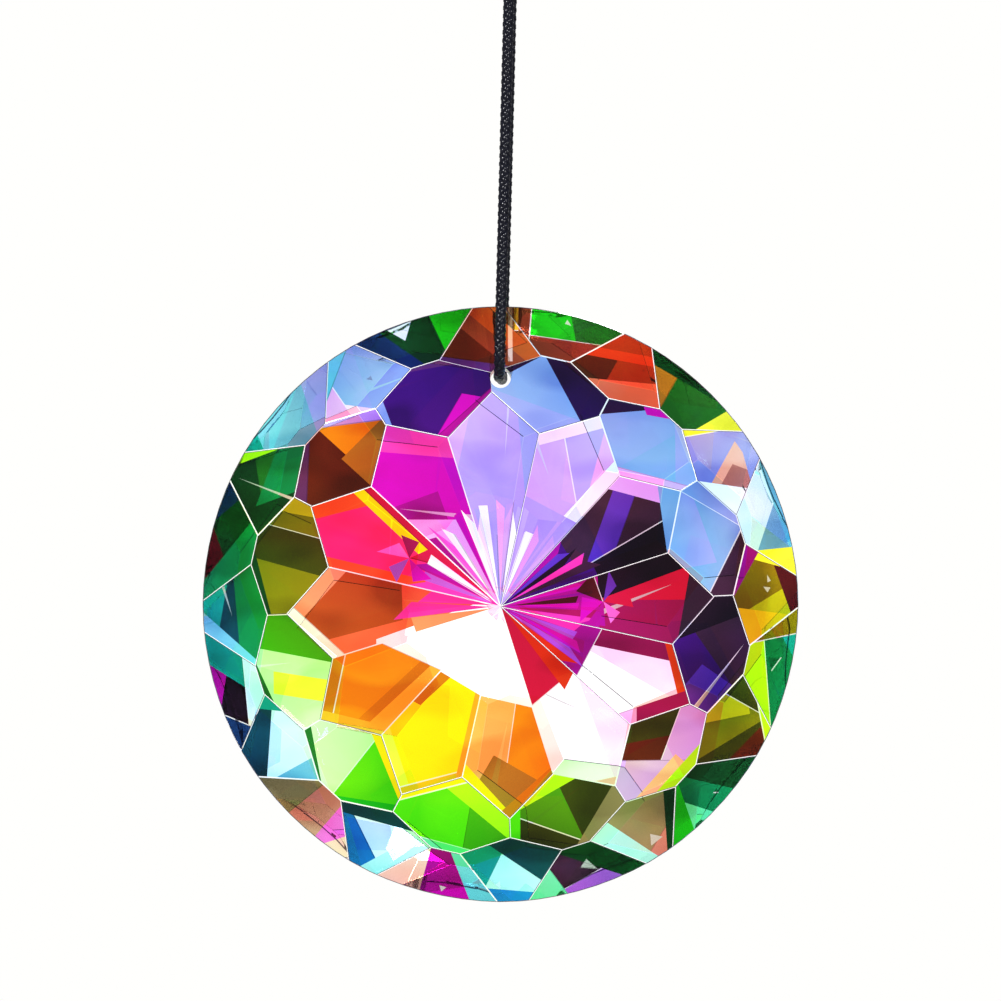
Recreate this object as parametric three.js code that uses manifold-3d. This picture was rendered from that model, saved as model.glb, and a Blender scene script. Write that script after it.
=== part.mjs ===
// A crystal suncatcher: a round disc of cut glass that hangs on a loop of braided cord.
//
// Millimetres, +Z up. The origin is the seat of the hanging eye, where a hook bears up into the
// loop of cord, just under its knot. The disc hangs below it, and its front faces -Y.

import * as THREE from "three";
import { mergeVertices } from "three/addons/utils/BufferGeometryUtils.js";
import Module from "manifold-3d";

const wasm = await Module();
wasm.setup();

// ---- driving dimensions ----

const discRadius = 30;
const discDrop = 70; // from the hanging eye down to the disc's centre
const discSide = -1.2; // the cord leans a little, so the disc's centre is this far along X
const rimSegments = 96;

const facetsInRing = 12;
const halfStep = 180 / facetsInRing; // degrees: every other ring is turned by half a facet

const boreRadius = 1.05;
const boreHeight = 22.7; // above the disc's centre
const boreSegments = 24;

// Each face is a dome of facet rings, named from the middle outwards. tip is the dome's height
// over the disc's middle plane, and turn is how far its pattern is turned from the bore's line,
// in degrees, anticlockwise for someone who looks at that face. A ring's slope is measured from
// the disc's plane, in degrees. It starts at the radius where its facets first cut into the
// ring named by over, and a staggered ring's facets stand between those of an unstaggered one.
const front = {
  tip: 11,
  turn: 2.4,
  rings: {
    petals: { slope: 13, staggered: false },
    diamonds: { slope: 18.3, staggered: true, start: 17.5, over: "petals" },
    shields: { slope: 31.5, staggered: false, start: 23.25, over: "diamonds" },
    rim: { slope: 37.7, staggered: true, start: 25.2, over: "diamonds" },
  },
};
const back = {
  tip: 9.7,
  turn: -6.4,
  rings: {
    star: { slope: 6.8, staggered: true },
    petals: { slope: 12, staggered: false, start: 8, over: "star" },
    diamonds: { slope: 16.9, staggered: true, start: 16, over: "petals" },
    shields: { slope: 29.4, staggered: false, start: 22.8, over: "diamonds" },
    rim: { slope: 35.5, staggered: true, start: 25, over: "diamonds" },
  },
};

const cordRadius = 0.6;
const cordSides = 8;
const cordSteps = 72;
const strandOffset = 0.12; // each strand stands this far to its side, front to -X and back to +X

// One strand's route from the knot to the middle of the bore, as [out, z]: out is the distance
// in front of the loop's middle, or behind it for the other strand. The strand leaves the knot,
// widens round the hook, runs straight to the disc and turns into the bore.
const strandRoute = [
  [0.75, 0.9],
  [1.1, -0.2],
  [1.62, -1.6],
  [2.1, -3.6],
  [2.56, -6.5],
  [3.03, -10],
  [3.82, -16],
  [4.62, -22],
  [5.41, -28],
  [6.21, -34],
  [7, -40],
  [7.58, -44.45],
  [7.46, -45.57],
  [6.9, -46.45],
  [6.02, -47],
  [5.2, -47.15],
  [2.6, -47.15],
];
const boreMiddle = new THREE.Vector3(discSide, 0, -47.15);

const knotBottom = 1.2;
const knotHeight = 4;
const knotRadius = 1.75;
const knotSides = 24;
const tailLength = 3.4;
const tailLean = 14; // degrees outwards
const tailSpread = 0.7; // from the knot's axis to each tail, where it leaves the knot

const crystalMaterial = new THREE.MeshStandardMaterial({
  color: 0xc9b6e8,
  roughness: 0.02,
  metalness: 0,
});
const cordMaterial = new THREE.MeshStandardMaterial({
  color: 0x14161f,
  roughness: 0.45,
  metalness: 0,
});

// ---- cutting and joining ----

/** The geometry as a solid that can be cut and joined. */
function solid(geometry) {
  const bare = geometry.clone();
  for (const name of Object.keys(bare.attributes)) {
    if (name !== "position") bare.deleteAttribute(name);
  }
  const merged = mergeVertices(bare);
  return new wasm.Manifold(
    new wasm.Mesh({
      numProp: 3,
      vertProperties: new Float32Array(merged.attributes.position.array),
      triVerts: new Uint32Array(merged.index.array),
    }),
  );
}

/** A solid's surface as a flat-shaded geometry. */
function geometryOf(body) {
  const { vertProperties, triVerts } = body.getMesh();
  const geometry = new THREE.BufferGeometry();
  geometry.setAttribute("position", new THREE.BufferAttribute(new Float32Array(vertProperties), 3));
  geometry.setIndex(new THREE.BufferAttribute(new Uint32Array(triVerts), 1));
  const flat = geometry.toNonIndexed();
  flat.computeVertexNormals();
  return flat;
}

// ---- the crystal ----

const slopeOf = (ring) => Math.tan(THREE.MathUtils.degToRad(ring.slope));

/** How far the tip of a ring's own pyramid stands over the tip of its dome. */
function pyramidRise(ring, rings) {
  if (!ring.over) return 0;
  const below = rings[ring.over];
  const apart = ring.staggered === below.staggered ? 0 : THREE.MathUtils.degToRad(halfStep);
  return (
    pyramidRise(below, rings) + ring.start * (slopeOf(ring) - slopeOf(below) * Math.cos(apart))
  );
}

/** A pyramid along +Y whose sides are the ring's facets. It holds all of the disc behind them. */
function facetPyramid(ring, dome) {
  const tip = dome.tip + pyramidRise(ring, dome.rings);
  const height = tip + discRadius;
  const cornerRadius = height / slopeOf(ring) / Math.cos(THREE.MathUtils.degToRad(halfStep));
  const pyramid = new THREE.ConeGeometry(cornerRadius, height, facetsInRing);
  // A cone's corners start on +Z, and the first facet is centred there when it is turned.
  const turn = dome.turn + (ring.staggered ? 0 : halfStep);
  pyramid.rotateY(THREE.MathUtils.degToRad(turn));
  return pyramid.translate(0, tip - height / 2, 0);
}

/** The round blank with one dome of facets ground on each face, and the bore drilled through. */
function crystalGeometry() {
  const length = 4 * discRadius;
  let body = solid(new THREE.CylinderGeometry(discRadius, discRadius, length, rimSegments));
  for (const ring of Object.values(back.rings)) {
    body = body.intersect(solid(facetPyramid(ring, back)));
  }
  for (const ring of Object.values(front.rings)) {
    body = body.intersect(solid(facetPyramid(ring, front).rotateZ(Math.PI)));
  }
  const drill = new THREE.CylinderGeometry(boreRadius, boreRadius, length, boreSegments);
  return geometryOf(body.subtract(solid(drill.translate(0, 0, boreHeight))));
}

// ---- the cord ----

/** The cord's route: down the front strand, through the bore and up the back strand. */
function cordCurve() {
  const lean = discSide / boreMiddle.z;
  const strand = (side) =>
    strandRoute.map(
      ([out, z]) => new THREE.Vector3(lean * z + side * strandOffset, side * out, z),
    );
  return new THREE.CatmullRomCurve3([...strand(-1), boreMiddle, ...strand(1).reverse()]);
}

function cordGeometry() {
  const section = new THREE.Shape();
  for (let i = 0; i < cordSides; i += 1) {
    const angle = (2 * Math.PI * i) / cordSides;
    const [x, y] = [cordRadius * Math.cos(angle), cordRadius * Math.sin(angle)];
    if (i === 0) section.moveTo(x, y);
    else section.lineTo(x, y);
  }
  section.closePath();
  return new THREE.ExtrudeGeometry(section, {
    steps: cordSteps,
    extrudePath: cordCurve(),
    bevelEnabled: false,
  });
}

/** The knot that ties the cord's two ends together, with the short tails that stand out of it. */
function knotGeometry() {
  const profile = [];
  const profileSteps = 10;
  for (let i = 0; i <= profileSteps; i += 1) {
    const angle = (Math.PI * i) / profileSteps - Math.PI / 2;
    const radius = i % profileSteps === 0 ? 0 : knotRadius * Math.cos(angle) ** 0.6;
    profile.push(new THREE.Vector2(radius, (knotHeight / 2) * Math.sin(angle)));
  }
  const middle = knotBottom + knotHeight / 2;
  let body = solid(
    new THREE.LatheGeometry(profile, knotSides).rotateX(Math.PI / 2).translate(0, 0, middle),
  );
  for (const side of [-1, 1]) {
    const tail = new THREE.CylinderGeometry(cordRadius, cordRadius, tailLength, cordSides)
      .translate(0, tailLength / 2, 0)
      .rotateX(Math.PI / 2)
      .rotateY(side * THREE.MathUtils.degToRad(tailLean))
      .translate(side * tailSpread, 0, middle + knotHeight / 4);
    body = body.add(solid(tail));
  }
  return geometryOf(body);
}

// ---- the suncatcher ----

function named(name, geometry, material) {
  const mesh = new THREE.Mesh(geometry, material);
  mesh.name = name;
  return mesh;
}

const suncatcher = new THREE.Group();

const crystal = named("crystal_disc", crystalGeometry(), crystalMaterial);
crystal.position.set(discSide, 0, -discDrop);

const hanger = new THREE.Group();
hanger.add(named("hanging_cord", cordGeometry(), cordMaterial));
hanger.add(named("cord_knot", knotGeometry(), cordMaterial));

suncatcher.add(crystal, hanger);

export default suncatcher;
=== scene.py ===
"""The looks of the crystal suncatcher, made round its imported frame.

The crystal keeps the frame's solid. Its facets are found again in that mesh, their edges are
softened, and each facet gets the colour of the thin film on it. The cord is braided from eight
yarns along the frame's own route. Lengths are in metres, and MM turns millimetres into them.
"""

import math
import random

import bmesh
import bpy
import numpy as np
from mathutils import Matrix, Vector


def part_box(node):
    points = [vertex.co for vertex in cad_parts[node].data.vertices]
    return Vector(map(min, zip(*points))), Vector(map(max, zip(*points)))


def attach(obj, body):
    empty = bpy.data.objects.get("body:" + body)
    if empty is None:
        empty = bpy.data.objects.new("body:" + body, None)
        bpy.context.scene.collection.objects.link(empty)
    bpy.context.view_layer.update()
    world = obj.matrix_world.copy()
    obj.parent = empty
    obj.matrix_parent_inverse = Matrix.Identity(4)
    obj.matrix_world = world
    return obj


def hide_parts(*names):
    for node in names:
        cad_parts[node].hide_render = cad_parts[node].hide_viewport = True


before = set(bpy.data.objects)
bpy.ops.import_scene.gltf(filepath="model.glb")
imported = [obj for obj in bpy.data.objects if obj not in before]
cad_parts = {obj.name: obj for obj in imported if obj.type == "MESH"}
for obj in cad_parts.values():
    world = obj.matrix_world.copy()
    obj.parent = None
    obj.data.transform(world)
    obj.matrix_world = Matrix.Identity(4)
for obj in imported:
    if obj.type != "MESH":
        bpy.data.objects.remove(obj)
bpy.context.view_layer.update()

MM = 0.001
SEED = 12

scene = bpy.context.scene
disc_low, disc_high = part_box("crystal_disc")
disc_middle = (disc_low + disc_high) / 2
disc_middle.y = 0
disc_radius = (disc_high.x - disc_low.x) / 2


# ---- camera ----


def make_camera():
    """Faces the disc from straight in front, with the disc low in the picture and its cord above."""
    sensor, lens = 36, 160
    frame_width = 3.37 * disc_radius
    rise = 0.348 * disc_radius
    data = bpy.data.cameras.new("camera")
    data.sensor_width = sensor
    data.lens = lens
    camera = bpy.data.objects.new("camera", data)
    scene.collection.objects.link(camera)
    camera.location = (disc_middle.x, -frame_width * lens / sensor, disc_middle.z + rise)
    camera.rotation_euler = (math.radians(90), 0, 0)
    scene.camera = camera


make_camera()


# ---- the cord's route ----

CORD_RADIUS = 0.6 * MM
STRAND_OFFSET = 0.12 * MM
DISC_SIDE = -1.2
BORE_LINE = -47.15
STRAND_ROUTE = [
    (0.75, 0.9),
    (1.1, -0.2),
    (1.62, -1.6),
    (2.1, -3.6),
    (2.56, -6.5),
    (3.03, -10),
    (3.82, -16),
    (4.62, -22),
    (5.41, -28),
    (6.21, -34),
    (7, -40),
    (7.58, -44.45),
    (7.46, -45.57),
    (6.9, -46.45),
    (6.02, -47),
    (5.2, -47.15),
    (2.6, -47.15),
]


def cord_route():
    """Down the front strand, through the bore and up the back strand."""
    lean = DISC_SIDE / BORE_LINE

    def strand(side):
        return [
            Vector((lean * z * MM + side * STRAND_OFFSET, side * out * MM, z * MM))
            for out, z in STRAND_ROUTE
        ]

    middle = Vector((DISC_SIDE * MM, 0, BORE_LINE * MM))
    return strand(-1) + [middle] + strand(1)[::-1]


def smooth_line(points, step):
    """A centripetal Catmull-Rom curve through the points, as rows about a step apart."""
    points = [Vector(p) for p in points]
    ends = [2 * points[0] - points[1], *points, 2 * points[-1] - points[-2]]
    line = []
    for a, b, c, d in zip(ends, ends[1:], ends[2:], ends[3:]):
        ta = 0.0
        tb = ta + math.sqrt((b - a).length)
        tc = tb + math.sqrt((c - b).length)
        td = tc + math.sqrt((d - c).length)
        count = max(1, round((c - b).length / step))
        for i in range(count):
            t = tb + (tc - tb) * i / count
            ab = a.lerp(b, (t - ta) / (tb - ta))
            bc = b.lerp(c, (t - tb) / (tc - tb))
            cd = c.lerp(d, (t - tc) / (td - tc))
            abc = ab.lerp(bc, (t - ta) / (tc - ta))
            bcd = bc.lerp(cd, (t - tb) / (td - tb))
            line.append(abc.lerp(bcd, (t - tb) / (tc - tb)))
    line.append(points[-1])
    return np.array([tuple(p) for p in line])


# ---- shader helpers ----


def linear(hex_code):
    """A colour such as "C80A50" in the linear numbers that shaders use."""
    parts = [int(hex_code[i : i + 2], 16) / 255 for i in (0, 2, 4)]
    return [p / 12.92 if p <= 0.04045 else ((p + 0.055) / 1.055) ** 2.4 for p in parts]


class Nodes:
    """A material's node tree, with short ways to add and join its nodes."""

    def __init__(self, name):
        self.material = bpy.data.materials.new(name)
        self.material.use_nodes = True
        self.tree = self.material.node_tree
        self.shader = self.tree.nodes["Principled BSDF"]

    def add(self, kind, **settings):
        node = self.tree.nodes.new("ShaderNode" + kind)
        for key, value in settings.items():
            setattr(node, key, value)
        return node

    def put(self, value, socket):
        """Links an output to a socket, or sets the socket's own value."""
        if isinstance(value, bpy.types.NodeSocket):
            self.tree.links.new(value, socket)
        else:
            socket.default_value = value

    def math(self, operation, a, b=0.0, c=0.0):
        node = self.add("Math", operation=operation)
        for value, socket in zip((a, b, c), node.inputs):
            self.put(value, socket)
        return node.outputs[0]

    def noise(self, scale, detail=2.0, stretch=(1, 1, 1)):
        coords = self.add("TexCoord")
        mapping = self.add("Mapping")
        mapping.inputs["Scale"].default_value = stretch
        self.put(coords.outputs["Object"], mapping.inputs["Vector"])
        node = self.add("TexNoise")
        node.inputs["Scale"].default_value = scale
        node.inputs["Detail"].default_value = detail
        self.put(mapping.outputs[0], node.inputs["Vector"])
        return node.outputs["Fac"]

    def remap(self, value, low, high, to_low, to_high):
        node = self.add("MapRange")
        for v, socket in zip((value, low, high, to_low, to_high), node.inputs):
            self.put(v, socket)
        return node.outputs[0]

    def mix(self, factor, a, b, blend="MIX"):
        node = self.add("Mix", data_type="RGBA", blend_type=blend)
        self.put(factor, node.inputs["Factor"])
        for value, socket in ((a, node.inputs[6]), (b, node.inputs[7])):
            self.put(value, socket)
        return node.outputs[2]

    def bump(self, height, distance, strength=1.0):
        node = self.add("Bump")
        node.inputs["Strength"].default_value = strength
        node.inputs["Distance"].default_value = distance
        self.put(height, node.inputs["Height"])
        self.put(node.outputs[0], self.shader.inputs["Normal"])

    def set(self, **values):
        """Sets the shader's sockets, such as Roughness=0.2 or IOR=1.5."""
        for key, value in values.items():
            self.put(value, self.shader.inputs[key.replace("_", " ")])


def grey(value):
    return (value, value, value, 1)


# ---- the braided cord ----

BRAID_PITCH = 3.36 * MM
YARNS_EACH_WAY = 4
YARN_SIDES = 6


def travelling_frames(line):
    """The line's length so far and two crosswise directions at each point, without twist."""
    steps = np.diff(line, axis=0)
    along = np.concatenate([[0], np.cumsum(np.linalg.norm(steps, axis=1))])
    tangents = np.gradient(line, axis=0)
    tangents /= np.linalg.norm(tangents, axis=1)[:, None]
    across = np.zeros_like(line)
    start = Vector(tangents[0]).orthogonal().normalized()
    across[0] = start
    for i in range(1, len(line)):
        kept = across[i - 1] - tangents[i] * across[i - 1].dot(tangents[i])
        across[i] = kept / np.linalg.norm(kept)
    return along, tangents, across, np.cross(tangents, across)


class MeshParts:
    """Vertices and faces of several closed tubes, gathered for one mesh."""

    def __init__(self):
        self.points = []
        self.faces = []

    def tube(self, rings):
        """Adds a closed tube through the rings, an array of rings by points by three."""
        count, sides, _ = rings.shape
        base = len(self.points)
        self.points.extend(map(tuple, rings.reshape(-1, 3)))
        for i in range(count - 1):
            for j in range(sides):
                k = (j + 1) % sides
                a, b = base + i * sides, base + (i + 1) * sides
                self.faces.append((a + j, a + k, b + k, b + j))
        self.faces.append(tuple(base + j for j in range(sides))[::-1])
        self.faces.append(tuple(base + (count - 1) * sides + j for j in range(sides)))

    def piece(self, name, material):
        mesh = bpy.data.meshes.new(name)
        mesh.from_pydata(self.points, [], self.faces)
        mesh.materials.append(material)
        mesh.shade_smooth()
        piece = bpy.data.objects.new(name, mesh)
        scene.collection.objects.link(piece)
        return piece


def add_braid(parts, line, radius=CORD_RADIUS, taper=0.0):
    """Eight yarns plaited over and under each other round a core, along the line."""
    along, tangents, across, upright = travelling_frames(line)
    shrink = np.ones(len(line))
    if taper:
        shrink = np.clip((along[-1] - along) / taper, 0.25, 1) ** 0.5
    middle_radius = 0.66 * radius
    wave = 0.12 * radius
    half_width = 0.46 * radius
    half_thickness = 0.21 * radius
    turn = 2 * math.pi * along / BRAID_PITCH
    over = np.cos(2 * YARNS_EACH_WAY * turn / 2)
    for way in (-1, 1):
        for yarn in range(YARNS_EACH_WAY):
            angle = way * turn + 2 * math.pi * yarn / YARNS_EACH_WAY
            outward = across * np.cos(angle)[:, None] + upright * np.sin(angle)[:, None]
            out = (middle_radius + way * wave * over) * shrink
            centre = line + outward * out[:, None]
            run = np.gradient(centre, axis=0)
            run /= np.linalg.norm(run, axis=1)[:, None]
            wide = np.cross(run, outward)
            wide /= np.linalg.norm(wide, axis=1)[:, None]
            rings = []
            for j in range(YARN_SIDES):
                a = 2 * math.pi * j / YARN_SIDES
                rings.append(
                    centre
                    + wide * (half_width * math.cos(a) * shrink)[:, None]
                    + np.cross(wide, run) * (half_thickness * math.sin(a) * shrink)[:, None]
                )
            parts.tube(np.stack(rings, axis=1))
    add_rod(parts, line, 0.6 * radius, 8, shrink)


def add_rod(parts, line, radius, sides, shrink=None):
    """A plain round rod along the line."""
    _, _, across, upright = travelling_frames(line)
    size = radius * (np.ones(len(line)) if shrink is None else shrink)
    rings = []
    for j in range(sides):
        a = 2 * math.pi * j / sides
        rings.append(line + (across * math.cos(a) + upright * math.sin(a)) * size[:, None])
    parts.tube(np.stack(rings, axis=1))


def waxed_braid():
    """Black waxed polyester: nearly black, with a soft shine along each yarn."""
    nodes = Nodes("waxed_braid")
    fibres = nodes.noise(9000, 3.0, (1, 1, 0.25))
    wax = nodes.noise(900, 4.0)
    colour = nodes.mix(fibres, (0.002, 0.0022, 0.006, 1), (0.006, 0.007, 0.018, 1))
    nodes.set(Base_Color=colour, Roughness=nodes.remap(wax, 0.3, 0.7, 0.3, 0.5))
    nodes.set(Specular_IOR_Level=0.25, Coat_Weight=0.7, Coat_Roughness=0.05)
    nodes.bump(fibres, 0.03 * MM, 0.6)
    return nodes.material


def make_cord(material):
    route = cord_route()
    line = smooth_line(route, 0.13 * MM)
    parts = MeshParts()
    add_braid(parts, line)
    cord = parts.piece("braided_cord", material)
    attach(cord, "root")
    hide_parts("hanging_cord")
    return cord, route[0], line


def make_knot(material):
    """An overhand knot tied in both ends at once: two wraps round the strands, and two tails."""
    low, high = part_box("cord_knot")
    bottom = low.z + 0.75 * CORD_RADIUS
    wrap_radius = 1.02 * MM
    wrap_rise = 2.9 * MM
    wraps = 2.0
    count = 28
    wrap = [Vector((0.1 * MM, 0, bottom - 0.1 * MM))]
    for i in range(count + 1):
        share = i / count
        angle = 2 * math.pi * wraps * share + math.pi
        wrap.append(
            Vector((
                wrap_radius * math.cos(angle),
                wrap_radius * math.sin(angle),
                bottom + wrap_rise * share + 0.18 * MM * math.sin(2 * angle),
            ))
        )
    wrap.append(Vector((0, 0, bottom + wrap_rise + 0.35 * MM)))
    parts = MeshParts()
    add_braid(parts, smooth_line(wrap, 0.13 * MM))
    route = cord_route()
    strand_ends = {-1: route[0], 1: route[-1]}
    tail_top = high.z - 0.25 * MM
    for side in (-1, 1):
        tip = high.x - 0.6 * MM
        tail = [
            strand_ends[side],
            Vector((0.15 * side * MM, 0.5 * side * MM, bottom + 0.3 * MM)),
            Vector((0.3 * side * MM, 0.35 * side * MM, bottom + 0.5 * wrap_rise)),
            Vector((0.6 * side * MM, 0.15 * side * MM, bottom + wrap_rise)),
            Vector((0.75 * side * tip, 0.1 * side * MM, (bottom + wrap_rise + tail_top) / 2)),
            Vector((side * tip, 0.2 * side * MM, tail_top)),
        ]
        add_braid(parts, smooth_line(tail, 0.13 * MM), taper=0.5 * MM)
    knot = parts.piece("tied_knot", material)
    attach(knot, "root")
    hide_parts("cord_knot")
    return knot


braid_material = waxed_braid()
braided_cord, cord_exit, cord_line = make_cord(braid_material)
tied_knot = make_knot(braid_material)


# ---- the crystal ----

COLOURS = {
    "amber": "F8B42C",
    "apricot": "F8B45C",
    "aqua": "B4F0EC",
    "blue": "1680C6",
    "bronze": "B87A22",
    "brown": "581E0C",
    "clear": "FFFFFF",
    "coral": "EC6C44",
    "cornflower": "90B0E2",
    "crimson": "CC1440",
    "cyan": "70C8E0",
    "deep_green": "0A3C1A",
    "deep_teal": "0A4250",
    "emerald": "0C8048",
    "fern": "4E8A0C",
    "fuchsia": "F03CB0",
    "gold": "E8C810",
    "grass": "4CB008",
    "green": "62DC00",
    "hot_pink": "FF2A80",
    "ice": "D6F4FC",
    "ink": "2A1040",
    "indigo": "3C0C6C",
    "khaki": "C4BE14",
    "lavender": "BEA8F2",
    "leaf": "1E6A20",
    "lemon": "F6F83C",
    "lilac": "D8B0F0",
    "lime": "BCF010",
    "magenta": "CC04B8",
    "maroon": "4A1018",
    "mint": "6CE6A8",
    "moss": "3A3E08",
    "navy": "102C58",
    "night": "180C1C",
    "ochre": "8A7008",
    "olive": "7C7A08",
    "orange": "EA940E",
    "orchid": "F2B0EC",
    "pale_green": "CCF8AC",
    "pale_pink": "FBE2F8",
    "peach": "F6C6AE",
    "periwinkle": "A2ACE6",
    "plum": "3A2036",
    "purple": "B060D8",
    "raspberry": "9A1056",
    "red_brown": "8C3C24",
    "rose": "CE8A7A",
    "rust": "A83210",
    "salmon": "F4986C",
    "scarlet": "D83A14",
    "sky": "86B2DE",
    "sand": "F0C490",
    "smoke": "5A2C66",
    "steel": "78B4D4",
    "tan": "9A8A60",
    "tangerine": "D8800C",
    "teal": "10A092",
    "terracotta": "B8501E",
    "vermilion": "F0582A",
    "violet": "5A30B0",
    "vivid_green": "1CC41C",
    "vivid_pink": "F468DC",
    "white": "FFFFFF",
    "wine": "A80890",
    "yellow": "FFE600",
}

# The coloured film on the front, ring by ring from the middle. Each ring's first facet is the
# one next to level on the right, and the rest go anticlockwise as seen from the front. A facet
# is its main colour and then its patches. A patch is a colour, the side that it lies on, in
# degrees anticlockwise from level right, and where it starts: 0 is the facet's middle and 1 its
# farthest corner on that side. A patch with two sides lies where both are met. A later patch
# lies over an earlier one.
PETALS = [
    ["raspberry", ("crimson", 90, 0.0), ("night", 110, 0.35), ("plum", 350, 0.62),
     ("wine", 182, 0.3)],
    ["plum", ("violet", 160, -0.05), ("plum", 160, 0.22), ("night", 300, 0.3),
     ("lilac", 75, 0.7), ("sky", 8, 0.68), ("indigo", 212, 0.4)],
    ["lavender", ("lilac", 190, -0.1), ("orchid", 345, 0.5), ("white", 317, 0.6),
     ("pale_pink", 105, 0.78), ("lavender", 242, 0.22)],
    ["lavender", ("lilac", 168, 0.7), ("periwinkle", 5, 0.6)],
    ["magenta", ("fuchsia", 85, 0.55), ("wine", 290, 0.05, 200, -0.2), ("orchid", 270, 0.27)],
    ["hot_pink", ("vermilion", 104, 0.68), ("yellow", 47, 0.52), ("crimson", 47, 0.78),
     ("vermilion", 257, 0.74), ("fuchsia", 332, 0.45)],
    ["terracotta", ("salmon", 137, 0.72), ("coral", 285, 0.5), ("white", 228, 0.8),
     ("coral", 2, 0.3), ("white", 290, 0.75, 2, 0.1)],
    ["orange", ("tangerine", 313, 0.3), ("amber", 313, 0.56), ("tangerine", 168, 0.78),
     ("amber", 257, 0.82), ("clear", 66, 0.29)],
    ["yellow", ("lemon", 198, 0.82), ("gold", 285, 0.86), ("amber", 347, 0.84),
     ("tangerine", 133, 0.62, 62, 0.1), ("clear", 59, 0.38)],
    ["orange", ("apricot", 172, -0.1), ("bronze", 240, 0.25, 330, -0.1), ("yellow", 222, 0.8),
     ("tangerine", 312, 0.82), ("clear", 77, 0.32)],
    ["white", ("pale_pink", 20, 0.35), ("peach", 282, 0.88), ("crimson", 130, 0.3)],
    ["pale_pink", ("white", 240, 0.0), ("raspberry", 78, 0.5), ("scarlet", 14, 0.84),
     ("orchid", 288, 0.74), ("raspberry", 288, 0.74, 0, 0.2), ("wine", 152, 0.28)],
]
DIAMONDS = [
    ["sky", ("periwinkle", 200, 0.05, 100, -0.4), ("cornflower", 60, 0.6), ("plum", 333, 0.5)],
    ["cornflower", ("sky", 300, 0.1), ("periwinkle", 0, 0.55), ("ink", 95, 0.7),
     ("magenta", 80, 0.76, 20, 0.2), ("orchid", 255, 0.8)],
    ["cornflower", ("periwinkle", 250, 0.35), ("ink", 28, 0.52), ("ink", 118, 0.66)],
    ["indigo", ("smoke", 100, 0.8), ("magenta", 330, 0.2, 260, 0.1), ("wine", 312, 0.74),
     ("cornflower", 201, 0.9)],
    ["brown", ("orange", 48, 0.1), ("bronze", 48, 0.0, 315, 0.1), ("lilac", 97, 0.72),
     ("smoke", 178, 0.7)],
    ["olive", ("moss", 75, -0.15), ("olive", 75, 0.45), ("khaki", 80, 0.74),
     ("deep_green", 195, 0.82)],
    ["pale_green", ("grass", 80, 0.3), ("lemon", 262, 0.05, 0, -0.4), ("pale_green", 262, 0.45),
     ("leaf", 205, 0.85)],
    ["pale_green", ("green", 322, 0.02), ("yellow", 22, 0.8), ("leaf", 190, 0.82),
     ("vivid_green", 262, 0.82)],
    ["green", ("grass", 350, 0.25), ("lime", 50, 0.55), ("yellow", 105, 0.84),
     ("mint", 255, 0.76)],
    ["fern", ("moss", 25, 0.1), ("moss", 250, 0.45), ("lime", 120, 0.66), ("tan", 330, 0.56),
     ("green", 180, 0.82)],
    ["brown", ("moss", 100, 0.4), ("lilac", 340, 0.0), ("lilac", 270, 0.12),
     ("sand", 318, 0.3, 228, -0.15), ("lime", 318, 0.66)],
    ["plum", ("indigo", 215, 0.1), ("violet", 235, 0.3, 320, -0.1), ("night", 110, 0.5)],
]
SHIELDS = [
    ["ochre", ("khaki", 300, 0.0), ("gold", 262, 0.35), ("maroon", 20, 0.35),
     ("lemon", 75, 0.7), ("wine", 150, 0.7)],
    ["periwinkle", ("peach", 215, -0.3, 330, -0.2), ("rose", 250, 0.1, 330, 0.1),
     ("white", 262, 0.5), ("periwinkle", 15, 0.45), ("lemon", 100, 0.8)],
    ["rust", ("brown", 150, 0.2), ("scarlet", 80, 0.0), ("rust", 80, 0.35), ("coral", 265, 0.45)],
    ["red_brown", ("brown", 230, 0.1), ("terracotta", 50, 0.3), ("smoke", 262, 0.62)],
    ["cornflower", ("sky", 20, 0.1), ("pale_pink", 262, 0.62), ("orchid", 215, 0.5), ("cyan", 160, 0.55)],
    ["leaf", ("deep_green", 190, 0.0), ("emerald", 340, 0.2), ("deep_green", 290, 0.5),
     ("lime", 110, 0.7)],
    ["deep_teal", ("teal", 170, 0.2), ("emerald", 5, 0.25), ("cyan", 230, 0.5)],
    ["ice", ("deep_teal", 175, 0.0), ("teal", 85, 0.75), ("cyan", 300, 0.55)],
    ["ice", ("blue", 205, 0.1), ("deep_teal", 75, 0.66), ("aqua", 300, 0.4)],
    ["aqua", ("teal", 155, 0.35), ("deep_teal", 55, 0.3), ("blue", 265, 0.5)],
    ["tan", ("rose", 330, 0.4), ("aqua", 235, 0.3), ("deep_green", 5, 0.62)],
    ["olive", ("moss", 300, 0.0), ("brown", 315, 0.35), ("khaki", 100, 0.3, 190, -0.2),
     ("moss", 60, 0.5), ("lime", 12, 0.7)],
]
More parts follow.
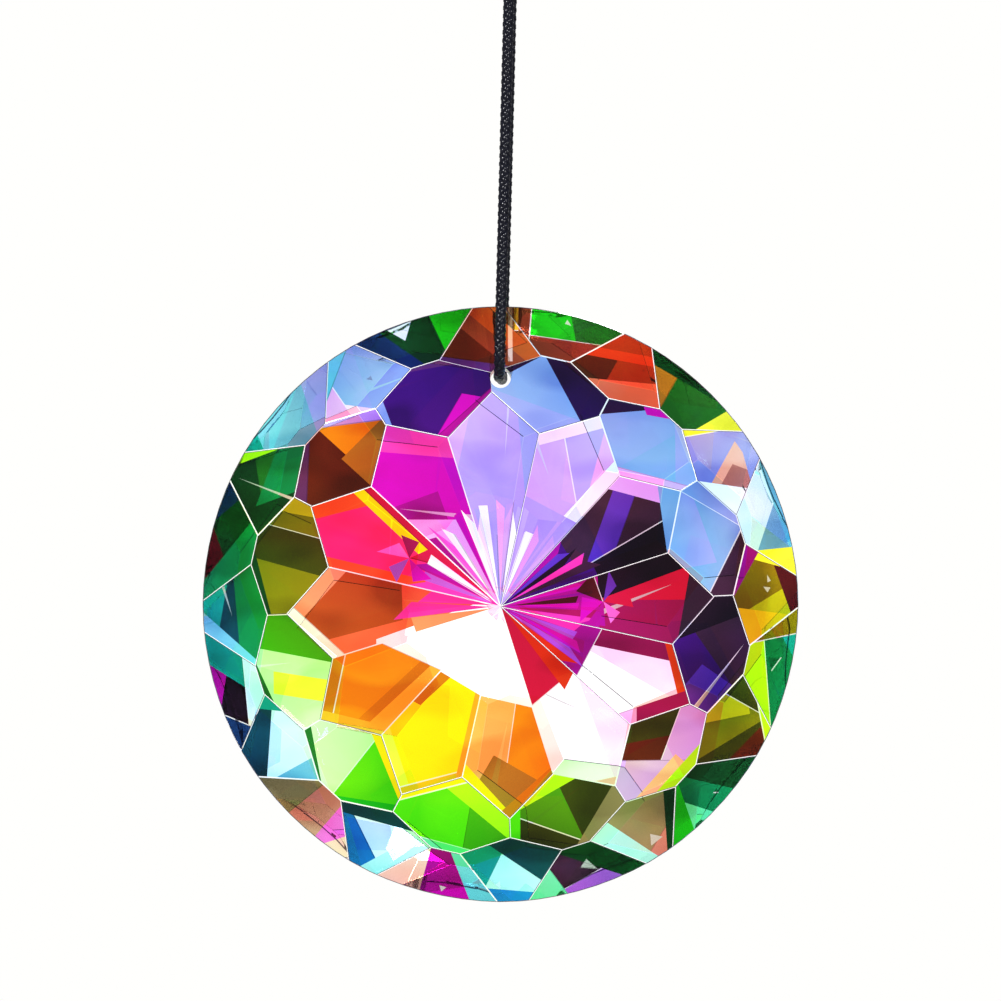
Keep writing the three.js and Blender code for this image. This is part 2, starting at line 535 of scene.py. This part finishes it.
RIM = [
    ["steel", ("ice", 160, 0.15), ("cyan", 20, 0.5), ("lemon", 275, 0.5)],
    ["leaf", ("bronze", 150, 0.4), ("deep_green", 60, 0.3), ("lemon", 300, 0.55)],
    ["vivid_green", ("leaf", 10, 0.15), ("red_brown", 262, 0.4), ("red_brown", 175, 0.55)],
    ["deep_green", ("vivid_green", 25, 0.3), ("ice", 165, 0.15, 60, -0.3), ("navy", 235, 0.5)],
    ["steel", ("cyan", 160, 0.1), ("periwinkle", 20, 0.35), ("teal", 205, 0.7)],
    ["deep_green", ("maroon", 200, 0.1), ("emerald", 320, 0.3), ("navy", 130, 0.5)],
    ["night", ("wine", 170, 0.1), ("teal", 60, 0.3), ("ice", 5, 0.5), ("navy", 250, 0.5)],
    ["rose", ("tan", 130, 0.2), ("vivid_pink", 320, 0.35), ("peach", 290, 0.6)],
    ["wine", ("peach", 165, 0.25), ("magenta", 280, 0.3), ("cyan", 20, 0.5)],
    ["plum", ("purple", 300, 0.0), ("mint", 215, 0.4), ("deep_green", 70, 0.4)],
    ["emerald", ("mint", 250, 0.2), ("deep_green", 75, 0.3), ("vivid_green", 200, 0.5)],
    ["emerald", ("lime", 185, 0.35), ("teal", 30, 0.4), ("olive", 100, 0.55)],
]
FRONT_FILM = [PETALS, DIAMONDS, SHIELDS, RIM]

# The needles of colour round the front's middle, petal by petal. They point at the middle, and
# each petal's needles share out its angle evenly, in order anticlockwise.
NEEDLES = [
    ["fuchsia", "raspberry", "magenta", "maroon", "wine", "magenta"],
    ["indigo", "plum", "fuchsia", "night", "violet", "wine"],
    ["lilac", "lavender", "orchid", "white", "lavender"],
    ["white", "lilac", "orchid", "lavender", "white", "pale_pink"],
    ["white", "magenta", "orchid", "white", "vivid_pink", "wine"],
    ["crimson", "white", "wine", "purple", "fuchsia"],
    ["fuchsia", "fuchsia", "salmon"],
    [],
    [],
    [],
    ["crimson", "crimson", "scarlet"],
    ["scarlet", "purple", "magenta", "purple", "fuchsia"],
]
NEEDLE_START = 0.03
NEEDLE_REACH = (0.23, 0.36)

# The small stars that some petals show part of the way out: the colours of the rays.
SMALL_STARS = {
    0: ["crimson", "violet", "maroon", "magenta", "wine", "vivid_pink"],
    5: ["crimson", "raspberry", "vivid_pink", "purple", "magenta"],
}
SMALL_STAR_OUT = 0.34
SMALL_STAR_REACH = (0.06, 0.11)

# The cord's reflection in the facet beside it: bands from the bore up to the rim.
REFLECTION_START = 1.5 * MM
REFLECTION_GAP = 0.15 * MM
REFLECTION_WIDTH = 0.45 * MM
REFLECTION_STEP = 0.55  # how much higher each band starts, as a share of the first one's height
REFLECTIONS = ["peach", "amber"]

# How strongly the back's film is coloured, and more faintly on its outermost ring.
BACK_STRENGTH = 0.35
BACK_RIM_STRENGTH = 0.2

# The star in the middle of the back. Each facet is its main colour and the colours of the
# narrow wedges that cross it from the tip.
STAR = [
    ["magenta", "violet", "orchid", "crimson"],
    ["violet", "lavender", "night"],
    ["lavender", "white", "orchid"],
    ["lavender", "white", "orchid", "periwinkle"],
    ["orchid", "white", "fuchsia", "white"],
    ["fuchsia", "white", "salmon"],
    ["white"],
    ["white"],
    ["white"],
    ["white"],
    ["crimson", "magenta", "purple"],
    ["magenta", "fuchsia", "crimson"],
]


def film_value(name, strength=1.0, hue_only=False):
    """The shader's colour for a film that lets through light of the named colour.

    A glass shader tints light by the root of its colour, so the value is squared. A film of
    hue only is lightened until its strongest colour passes in full.
    """
    parts = linear(COLOURS[name])
    if hue_only:
        parts = [p / max(parts) for p in parts]
    return tuple((1 - strength + strength * max(p, 0.001)) ** 2 for p in parts)


def crystal_solid():
    """The frame's solid, with the triangles of each facet joined into one face."""
    solid = bmesh.new()
    solid.from_mesh(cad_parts["crystal_disc"].data)
    bmesh.ops.remove_doubles(solid, verts=solid.verts, dist=0.002 * MM)
    bmesh.ops.dissolve_limit(
        solid, angle_limit=math.radians(0.4), verts=solid.verts, edges=solid.edges
    )
    return solid


def slope(normal):
    """Degrees between a facet and the disc's plane."""
    return math.degrees(math.acos(min(1, abs(normal.y))))


def bearing(vector):
    """Degrees anticlockwise from level right, as seen from the front."""
    return math.degrees(math.atan2(vector.z, vector.x)) % 360


def heading(degrees):
    """The direction in the disc's plane at so many degrees anticlockwise from level right."""
    return Vector((math.cos(math.radians(degrees)), 0, math.sin(math.radians(degrees))))


def in_bore(face):
    middle = face.calc_center_median() - disc_middle
    return abs(face.normal.y) < 0.1 and math.hypot(middle.x, middle.z) < 0.9 * disc_radius


def on_girdle(face):
    return abs(face.normal.y) < 0.1 and not in_bore(face)


def find_facets(solid):
    """The large facets as rows of side, ring, number in the ring, normal and middle."""
    found = []
    for side in (-1, 1):
        faces = [f for f in solid.faces if side * f.normal.y > 0.5 and f.calc_area() > 1 * MM**2]
        slopes = sorted({round(slope(f.normal), 1) for f in faces})
        for ring, ring_slope in enumerate(slopes):
            members = [f for f in faces if round(slope(f.normal), 1) == ring_slope]
            members.sort(key=lambda f: bearing(f.normal))
            for number, face in enumerate(members):
                found.append((side, ring, number, face.normal.copy(), face.calc_center_median()))
    return found


# ---- the kinds of surface on the crystal ----

# Kinds of surface: clear, painted glint (a white strip for a highlight), painted shade (a near-black
# strip for shade) and frosted.
POLISHED, PAINTED_GLINT, PAINTED_SHADE, GROUND = 0, 1, 2, 3
# The two strips of an edge, the one away from the light first, and how often each pair occurs. A painted
# glint is a white strip standing in for a highlight.
FRONT_PAIRS = {
    (PAINTED_SHADE, PAINTED_GLINT): 42,
    (PAINTED_GLINT, PAINTED_SHADE): 18,
    (PAINTED_GLINT, POLISHED): 8,
    (POLISHED, PAINTED_SHADE): 18,
    (POLISHED, POLISHED): 14,
}
BACK_PAIRS = {(PAINTED_GLINT, PAINTED_GLINT): 15, (PAINTED_SHADE, PAINTED_SHADE): 20, (POLISHED, POLISHED): 65}
# The way the light falls across the disc. It decides which strip of an edge gets the painted glint and
# which the painted shade.
LIT_WAY = Vector((-0.5, 0, 0.86))
GIRDLE_FLAT = 0.1 * MM
FRONT_FLAT = 0.07 * MM
PETAL_FLAT = 0.055 * MM
BACK_FLAT = 0.04 * MM
SHORT_EDGE = 0.15 * MM


def soften_edges(solid, kinds, rng):
    """A narrow flat along each edge between facets.

    Some flats carry a painted glint, a white strip standing in for a highlight. Some carry painted shade,
    a near-black strip standing in for shade. The rest are as clear as the facets.
    """
    girdle = [e for e in solid.edges if sum(on_girdle(f) for f in e.link_faces) == 1]
    # Painted shade: a near-black ring round the girdle stands in for the dark outline of the disc.
    for face in bevel(solid, girdle, GIRDLE_FLAT):
        face[kinds] = PAINTED_SHADE + 1
    for side, strips, wide, pairs in ((-1, 2, FRONT_FLAT, FRONT_PAIRS), (1, 1, BACK_FLAT, BACK_PAIRS)):
        for choose in (is_roomy, reaches_middle, is_other):
            edges = [e for e in solid.edges if between_facets(e, side, kinds) and choose(e)]
            rows = []
            for edge in edges:
                pair = rng.choices(list(pairs), list(pairs.values()))[0]
                if choose == reaches_middle and in_white_light(edge):
                    pair = (POLISHED, POLISHED)
                rows.append((*(v.co.copy() for v in edge.verts), pair))
            width = PETAL_FLAT if choose == reaches_middle else wide
            for face in bevel(solid, edges, width, strips):
                if face.calc_area() > 0.1 * MM * face.calc_perimeter():
                    continue
                middle = face.calc_center_median()
                start, end, pair = min(
                    rows, key=lambda row: distance_to_line(middle, row[0], row[1])
                )
                across = Vector((start.z - end.z, 0, end.x - start.x))
                if across.dot(LIT_WAY) < 0:
                    across.negate()
                face[kinds] = pair[(middle - start).dot(across) > 0] + 1


def reaches_middle(edge):
    return any((v.co - disc_middle).xz.length < 1 * MM for v in edge.verts)


def in_white_light(edge):
    """Whether the edge runs from the disc's middle across its clear lower left."""
    way = sum((v.co - disc_middle for v in edge.verts), Vector())
    return 190 < bearing(way) < 300


def is_other(edge):
    return True


def is_roomy(edge):
    """Whether an edge of the outer rings meets no short edge, which would narrow its flat."""
    neighbours = [e for v in edge.verts for e in v.link_edges]
    return not reaches_middle(edge) and all(e.calc_length() > SHORT_EDGE for e in neighbours)


def between_facets(edge, side, kinds):
    """Whether the edge lies between two facets of one side, neither of them in the star."""
    faces = edge.link_faces
    return edge.calc_face_angle(0) > math.radians(2.5) and all(
        side * f.normal.y > 0.5 and slope(f.normal) > 9 and f[kinds] == 0 for f in faces
    )


def bevel(solid, edges, width, strips=1):
    made = bmesh.ops.bevel(
        solid, geom=edges, offset=width, segments=strips, profile=0.5, affect="EDGES",
        clamp_overlap=True,
    )
    return made["faces"]


def distance_to_line(point, start, end):
    run = end - start
    share = max(0, min(1, (point - start).dot(run) / run.length_squared))
    return (start + run * share - point).length


def lay_film(solid, layer, films, face, main, patches):
    """Cuts a facet along its patches' borders and stores each part's film.

    A patch is its film and the borders it lies beyond, each a point and a direction.
    """

    def number(film):
        if film not in films:
            films.append(film)
        return films.index(film)

    face[layer] = number(main)
    parts = [face]
    for film, borders in patches:
        beyond = parts
        outside = []
        for point, direction in borders:
            geometry = list(dict.fromkeys(g for f in beyond for g in (f, *f.edges, *f.verts)))
            cut = bmesh.ops.bisect_plane(
                solid, geom=geometry, plane_co=point, plane_no=direction, dist=0.003 * MM
            )
            made = [g for g in cut["geom"] if isinstance(g, bmesh.types.BMFace)]
            within = [(f.calc_center_median() - point).dot(direction) > 0 for f in made]
            beyond = [f for f, inside in zip(made, within) if inside]
            outside += [f for f, inside in zip(made, within) if not inside]
        parts = beyond + outside
        for part in beyond:
            part[layer] = number(film)


def borders_of(face, sides):
    """The borders of a patch, from pairs of a side in degrees and a start along it."""
    middle = face.calc_center_median()
    borders = []
    for degrees, start in zip(sides[::2], sides[1::2]):
        direction = heading(degrees)
        reach = max((v.co - middle).dot(direction) for v in face.verts)
        borders.append((middle + direction * start * reach, direction))
    return borders


def glint(face, rng):
    """The borders of a thin sliver of painted highlight across part of a facet."""
    degrees = rng.uniform(0, 360)
    first = borders_of(face, (degrees, rng.uniform(-0.3, 0.5)))[0]
    direction = heading(degrees + 180 + rng.choice((-1, 1)) * rng.uniform(2.5, 6))
    along = heading(degrees + 90)
    reach = max(abs((v.co - first[0]).dot(along)) for v in face.verts)
    tip = first[0] + along * reach * rng.uniform(-0.3, 0.3) + heading(degrees) * 0.05 * MM
    return [first, (tip, direction)]


def splinter(face, film, rng):
    """A small three-sided patch, darker or paler than its facet."""
    tone = rng.choice((0.4, 0.25, -0.5, -0.7))
    toned = tuple(c + (1 - c) * tone if tone > 0 else c * (1 + tone) for c in film)
    toward = rng.uniform(0, 360)
    sides = (
        toward, rng.uniform(0.1, 0.5),
        toward + rng.uniform(95, 150), rng.uniform(-0.3, 0.2),
        toward - rng.uniform(95, 150), rng.uniform(-0.3, 0.2),
    )
    return toned, borders_of(face, sides)


def outline(patch, rng):
    """Now and then, a light or a dark hairline inside a patch's first border: a painted reflection of an
    edge.
    """
    film, borders = patch
    start, direction = borders[0]
    width = rng.uniform(0.06, 0.13) * MM
    tone = rng.choices((0.55, -0.6, 0), (14, 10, 76))[0]
    if not tone:
        return []
    line = tuple(c + (1 - c) * tone if tone > 0 else c * (1 + tone) for c in film)
    return [(line, [*borders, (start + direction * width, -direction)])]


def pleats(face, colours, rng):
    """Narrow wedges across a facet of the star, from the disc's middle outward."""
    bearings = sorted(bearing(v.co - disc_middle) for v in face.verts if far_out(v.co))
    low, high = bearings[0], bearings[-1]
    if high - low > 180:
        low, high = high, low + 360
    tip = Vector((disc_middle.x, 0, disc_middle.z))
    wedges = []
    for colour in colours[1:]:
        near = rng.uniform(low, high - 4)
        far = near + rng.uniform(2, 6)
        wedges.append((colour, [(tip, heading(near + 90)), (tip, heading(far - 90))]))
    return wedges


def far_out(point):
    return (point - disc_middle).xz.length > 1 * MM


def shard(colour, *points):
    """A convex shard of film: its colour, its corners and its borders."""
    middle = sum(points, Vector()) / len(points)
    borders = []
    for start, end in zip(points, points[1:] + points[:1]):
        run = (end - start).normalized()
        inward = Vector((-run.z, 0, run.x))
        if (middle - start).dot(inward) < 0:
            inward = -inward
        borders.append((start, inward))
    return film_value(colour), points, borders


def ray(colour, centre, toward, spread, start, reaches, rng):
    """A three-cornered shard that widens away from a centre and ends in a slanting side."""
    ends = [
        centre + heading(toward + turn) * disc_radius * rng.uniform(*reaches)
        for turn in (-spread / 2, spread / 2)
    ]
    return shard(colour, centre + heading(toward) * disc_radius * start, *ends)


def needles(facets, rng):
    """The needles round the middle and the small stars beyond them."""
    shards = []
    for side, ring, number, normal, _ in facets:
        if side > 0 or ring:
            continue
        colours = NEEDLES[number]
        share = 360 / len(NEEDLES) / max(1, len(colours))
        first = bearing(normal) - share * (len(colours) - 1) / 2
        for i, colour in enumerate(colours):
            toward = first + share * i
            shards.append(ray(colour, disc_middle, toward, share, NEEDLE_START, NEEDLE_REACH, rng))
        rays = SMALL_STARS.get(number, [])
        centre = disc_middle + heading(bearing(normal)) * disc_radius * SMALL_STAR_OUT
        for i, colour in enumerate(rays):
            spread = 360 / len(rays) * rng.uniform(0.5, 0.9)
            toward = 360 / len(rays) * (i + rng.uniform(0, 0.3))
            shards.append(ray(colour, centre, toward, spread, 0, SMALL_STAR_REACH, rng))
    return shards


def reflections():
    """Upright bands beside the cord, each shorter than the one before."""
    bottom = Vector((DISC_SIDE * MM, 0, BORE_LINE * MM + REFLECTION_START))
    height = disc_middle.z + disc_radius - bottom.z
    bands = []
    for i, colour in enumerate(REFLECTIONS):
        left = bottom.x + CORD_RADIUS + REFLECTION_GAP + i * (REFLECTION_WIDTH + REFLECTION_GAP)
        low = bottom.z + REFLECTION_STEP * height * i
        places = [(left, low), (left + REFLECTION_WIDTH, low)]
        places += [(x, bottom.z + height) for x, _ in reversed(places)]
        bands.append(shard(colour, *(Vector((x, 0, z)) for x, z in places)))
    return bands


def meets(face, points, borders):
    """Whether a shard overlaps a facet: no side of either keeps the two apart."""
    corners = [v.co for v in face.verts]
    if any(all((c - start).dot(inward) < 0 for c in corners) for start, inward in borders):
        return False
    middle = face.calc_center_median()
    for edge in face.edges:
        start, end = (v.co for v in edge.verts)
        run = end - start
        outward = Vector((-run.z, 0, run.x))
        if (middle - start).dot(outward) > 0:
            outward = -outward
        if all((point - start).dot(outward) > 0 for point in points):
            return False
    return True


def facet_in(solid, kinds, normal, middle):
    """The largest face that lies in the facet's plane: the facet, without its softened edges."""
    return max(
        (
            f
            for f in solid.faces
            if f[kinds] == 0
            and f.normal.dot(normal) > math.cos(math.radians(0.3))
            and abs((f.calc_center_median() - middle).dot(normal)) < 0.01 * MM
        ),
        key=lambda f: f.calc_area(),
    )


def front_film(face, ring, number, shards, rng):
    """The main film of a front facet, and its patches."""
    main, *patches = FRONT_FILM[ring][number]
    rows = [(film_value(p[0]), borders_of(face, p[1:])) for p in patches]
    if ring > 1:
        rows += [splinter(face, film_value(main), rng) for _ in range(3)]
    # Painted highlight: a paler sliver of the main film across part of the facet.
    if rng.random() < 0.15:
        pale = tuple(0.25 + 0.75 * c for c in film_value(main))
        rows.insert(len(rows) - 1, (pale, glint(face, rng)))
    rows += [(film, borders) for film, points, borders in shards if meets(face, points, borders)]
    return film_value(main), [row for patch in rows for row in (patch, *outline(patch, rng))]


def star_film(face, number, rng):
    """The main film of a facet of the back's star, and its pleats."""
    colours = STAR[number]
    rows = [(film_value(c, BACK_STRENGTH, True), b) for c, b in pleats(face, colours, rng)]
    return film_value(colours[0], BACK_STRENGTH, True), rows


def back_film(face, ring, number, rng):
    """The main film of another back facet, and its patches."""
    main, *patches = FRONT_FILM[ring - 1][number]
    strength = BACK_STRENGTH if ring < 4 else BACK_RIM_STRENGTH
    toward = rng.uniform(0, 360)
    sides = (toward, rng.uniform(0, 0.4), toward + rng.uniform(50, 100), rng.uniform(-0.4, 0))
    rows = [(film_value(patches[0][0], strength, True), borders_of(face, sides))]
    # Painted highlight: a near-white sliver across part of the facet.
    if rng.random() < 0.3:
        rows.append(((0.9,) * 3, glint(face, rng)))
    return film_value(main, strength, True), rows


def colour_facets(solid, facets, kinds, rng):
    """Cuts every facet into its patches of film, and paints them."""
    layer = solid.faces.layers.int.new("film_number")
    owner = solid.faces.layers.int.new("facet_number")
    films = [film_value("clear")]
    slants = [(disc_middle, [Vector()] * 3)]
    shards = needles(facets, random.Random(SEED + 1)) + reflections()
    for side, ring, number, normal, middle in facets:
        face = facet_in(solid, kinds, normal, middle)
        face[owner] = len(slants)
        size = max((v.co - middle).length for v in face.verts)
        lean = rng.uniform(0, 360)
        slants.append((middle, [heading(lean + rng.uniform(-60, 60)) / size for _ in range(3)]))
        if side < 0:
            main, rows = front_film(face, ring, number, shards, rng)
        elif ring == 0:
            main, rows = star_film(face, number, rng)
        else:
            main, rows = back_film(face, ring, number, rng)
        lay_film(solid, layer, films, face, main, rows)
    for face in solid.faces:
        if face[kinds]:
            face.material_index = face[kinds] - 1
        elif abs(face.normal.y) < 0.1:
            face.material_index = GROUND if in_bore(face) else POLISHED
    paint(solid, films, slants, layer, owner)


def paint(solid, films, slants, layer, owner):
    """Stores each face's film on its corners, darker towards one side of the facet and lighter towards
    the other, the side chosen at random.
    """
    film = solid.loops.layers.float_color.new("film")
    for face in solid.faces:
        middle, leans = slants[face[owner]]
        for loop in face.loops:
            arm = loop.vert.co - middle
            parts = zip(films[face[layer]], leans)
            loop[film] = (*(leaned(c, arm.dot(lean)) for c, lean in parts), 1)


def leaned(value, lean):
    """A film's value, darkened or lightened with the distance from the facet's middle."""
    return value * min(1.7, max(0.5, value ** (0.55 * lean)))


def clear_crystal():
    """Polished glass whose facets carry a coloured film."""
    nodes = Nodes("clear_crystal")
    film = nodes.add("Attribute", attribute_name="film").outputs["Color"]
    deep = nodes.remap(nodes.noise(130, 0.5, (1, 1, 1.8)), 0.5, 0.64, 0.0, 0.65)
    toned = nodes.mix(deep, film, nodes.mix(1.0, film, film, "MULTIPLY"))
    nodes.set(Base_Color=toned, Transmission_Weight=1.0, Roughness=0.0, IOR=1.5)
    nodes.bump(nodes.noise(140, 1.0), 0.02 * MM, 0.4)
    return nodes.material


def painted_glint_edge():
    """Painted highlights: white, mostly opaque flats that stand in for glints along the lit edges."""
    nodes = Nodes("painted_glint_edge")
    grain = nodes.noise(4000, 2.0)
    nodes.set(
        Base_Color=nodes.mix(grain, grey(0.9), grey(1.0)),
        Transmission_Weight=0.15,
        Roughness=nodes.remap(grain, 0.3, 0.7, 0.12, 0.3),
        IOR=1.5,
    )
    return nodes.material


def painted_shade_edge():
    """Painted shade: near-black flats that stand in for shade along edges and round the girdle."""
    nodes = Nodes("painted_shade_edge")
    grain = nodes.noise(2500, 2.0)
    nodes.set(
        Base_Color=nodes.mix(grain, (0.004, 0.004, 0.008, 1), (0.03, 0.03, 0.05, 1)),
        Transmission_Weight=0.9,
        Roughness=0.1,
        IOR=1.5,
    )
    return nodes.material


def ground_bore():
    """The drilled wall of the bore, frosted by the drill."""
    nodes = Nodes("ground_bore")
    rings = nodes.noise(3000, 3.0, (1, 4, 1))
    nodes.set(
        Base_Color=nodes.mix(rings, grey(0.75), grey(0.95)),
        Transmission_Weight=0.7,
        Roughness=nodes.remap(rings, 0.3, 0.7, 0.35, 0.6),
        IOR=1.5,
    )
    nodes.bump(rings, 0.02 * MM, 0.5)
    return nodes.material


def make_crystal():
    rng = random.Random(SEED)
    solid = crystal_solid()
    facets = find_facets(solid)
    kinds = solid.faces.layers.int.new("kind")
    soften_edges(solid, kinds, rng)
    colour_facets(solid, facets, kinds, rng)
    mesh = bpy.data.meshes.new("cut_crystal")
    solid.to_mesh(mesh)
    solid.free()
    for material in (clear_crystal(), painted_glint_edge(), painted_shade_edge(), ground_bore()):
        mesh.materials.append(material)
    crystal = bpy.data.objects.new("cut_crystal", mesh)
    scene.collection.objects.link(crystal)
    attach(crystal, "root")
    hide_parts("crystal_disc")


make_crystal()


# ---- floor, lights and surroundings ----


def make_floor():
    """A plain pale floor, well below the hanging disc and too small to reach into the picture."""
    radius, drop, sides = 1.5, 0.42, 96
    mesh = bpy.data.meshes.new("floor")
    rim = [
        (radius * math.cos(2 * math.pi * i / sides), radius * math.sin(2 * math.pi * i / sides), -drop)
        for i in range(sides)
    ]
    mesh.from_pydata(rim, [], [tuple(range(sides))])
    floor = bpy.data.objects.new("floor", mesh)
    scene.collection.objects.link(floor)
    nodes = Nodes("pale_floor")
    speck = nodes.noise(40, 4.0)
    nodes.set(Base_Color=nodes.mix(speck, (0.80, 0.80, 0.78, 1), (0.86, 0.86, 0.84, 1)))
    nodes.set(Roughness=0.6)
    mesh.materials.append(nodes.material)
    floor.visible_transmission = False
    floor.visible_glossy = False


def make_light(name, place, size, power):
    data = bpy.data.lights.new(name, "AREA")
    data.size = size
    data.energy = power
    light = bpy.data.objects.new(name, data)
    scene.collection.objects.link(light)
    light.location = place
    light.rotation_euler = (disc_middle - Vector(place)).to_track_quat("-Z", "Y").to_euler()
    light.visible_camera = False


def make_world():
    """A pale room: bright before and behind the disc, dimmer to its sides.

    What shows in polished surfaces is dimmer than what shows through them, as if black cards
    stood round the camera.
    """
    world = bpy.data.worlds.new("pale_room")
    scene.world = world
    world.use_nodes = True
    tree = world.node_tree

    def add(kind, *values, **settings):
        node = tree.nodes.new("ShaderNode" + kind)
        for key, value in settings.items():
            setattr(node, key, value)
        for value, socket in zip(values, node.inputs):
            if isinstance(value, bpy.types.NodeSocket):
                tree.links.new(value, socket)
            elif value is not None:
                socket.default_value = value
        return node

    place = add("SeparateXYZ", add("TexCoord").outputs["Generated"])
    depth = add("Math", place.outputs["Y"], operation="ABSOLUTE").outputs[0]
    room = add("MapRange", depth, 0.0, 0.6, 0.4, 1.3, interpolation_type="SMOOTHSTEP").outputs[0]
    path = add("LightPath")
    rough = add("Math", 1.0, path.outputs["Is Diffuse Ray"], operation="SUBTRACT").outputs[0]
    mirror = add("Math", path.outputs["Is Reflection Ray"], rough, operation="MULTIPLY").outputs[0]
    dim = add("Math", room, 0.12, operation="MULTIPLY").outputs[0]
    mirrored = add("Mix", mirror)
    tree.links.new(room, mirrored.inputs["A"])
    tree.links.new(dim, mirrored.inputs["B"])
    seen = add("Mix", path.outputs["Is Camera Ray"])
    tree.links.new(mirrored.outputs[0], seen.inputs["A"])
    seen.inputs["B"].default_value = 1.0
    background = tree.nodes["Background"]
    tree.links.new(seen.outputs[0], background.inputs["Strength"])
    background.inputs["Color"].default_value = (1, 1, 0.985, 1)


make_floor()
make_light("key", (-0.5, -0.6, 0.5), 0.15, 4)
make_light("right_fill", (0.45, -0.62, 0.25), 0.12, 1.5)
make_light("back_top", (0.2, 0.5, 0.6), 0.15, 1.5)
make_world()
scene.view_settings.view_transform = "Standard"
scene.cycles.max_bounces = 24
scene.cycles.glossy_bounces = 12
scene.cycles.transmission_bounces = 16
